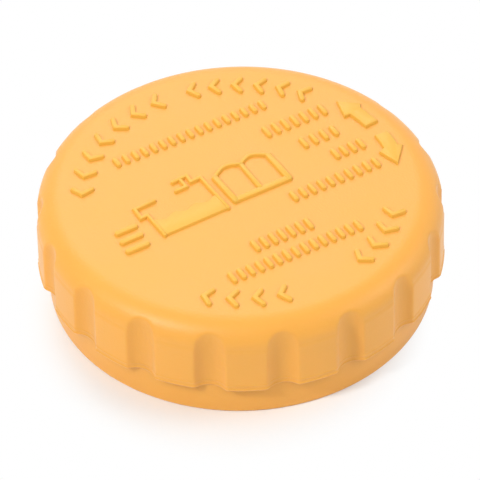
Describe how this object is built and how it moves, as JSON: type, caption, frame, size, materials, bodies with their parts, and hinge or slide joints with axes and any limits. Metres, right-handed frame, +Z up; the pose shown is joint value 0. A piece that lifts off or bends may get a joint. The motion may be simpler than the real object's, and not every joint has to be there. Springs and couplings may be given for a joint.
{
  "type": "coolant tank cap",
  "caption": "Screw cap for a coolant expansion tank: fluted yellow grip, and inside it a swivelling valve housing with sprung pressure and vacuum valves.",
  "frame": {"origin": "centre of the rim plane, on the cap's axis; the cap stands on its rim", "axes": "+Z up through the crown along the screw axis, -Y to the front ridge of the grip"},
  "size_m": [0.0658, 0.066, 0.0188],
  "materials": {
    "yellow_plastic": "fine matte moulded texture",
    "black_plastic": "satin glass-filled plastic",
    "natural_plastic": "smooth unpigmented plastic",
    "black_rubber": "moulded rubber",
    "spring_steel": "drawn stainless steel",
    "brass": "turned brass"
  },
  "bodies": {
    "cap_body": {"cap_shell": "yellow_plastic"},
    "valve_insert": {"valve_housing": "black_plastic", "slip_washer": "natural_plastic", "neck_o_ring": "black_rubber", "spring_retainer": "spring_steel", "retaining_clip": "spring_steel", "pressure_spring": "spring_steel"},
    "pressure_valve": {"pressure_plate": "natural_plastic", "pressure_seal": "black_rubber", "vacuum_spring": "spring_steel"},
    "vacuum_valve": {"vacuum_stem": "brass", "vacuum_disc": "brass", "vacuum_seal": "black_rubber", "vacuum_spring_washer": "spring_steel", "stem_clip": "spring_steel"}
  },
  "joints": [
    {"name": "insert_swivel", "type": "hinge", "parent": "cap_body", "child": "valve_insert", "pos_m": [0, 0, 0.0141], "axis": [0, 0, 1], "continuous": true},
    {"name": "pressure_lift", "type": "slide", "parent": "valve_insert", "child": "pressure_valve", "axis": [0, 0, 1], "range_m": [0, 0.0016], "stiffness_N_per_m": 3000, "deforming": ["pressure_spring"]},
    {"name": "vacuum_drop", "type": "slide", "parent": "pressure_valve", "child": "vacuum_valve", "axis": [0, 0, -1], "range_m": [0, 0.0008], "stiffness_N_per_m": 250, "deforming": ["vacuum_spring"]}
  ]
}
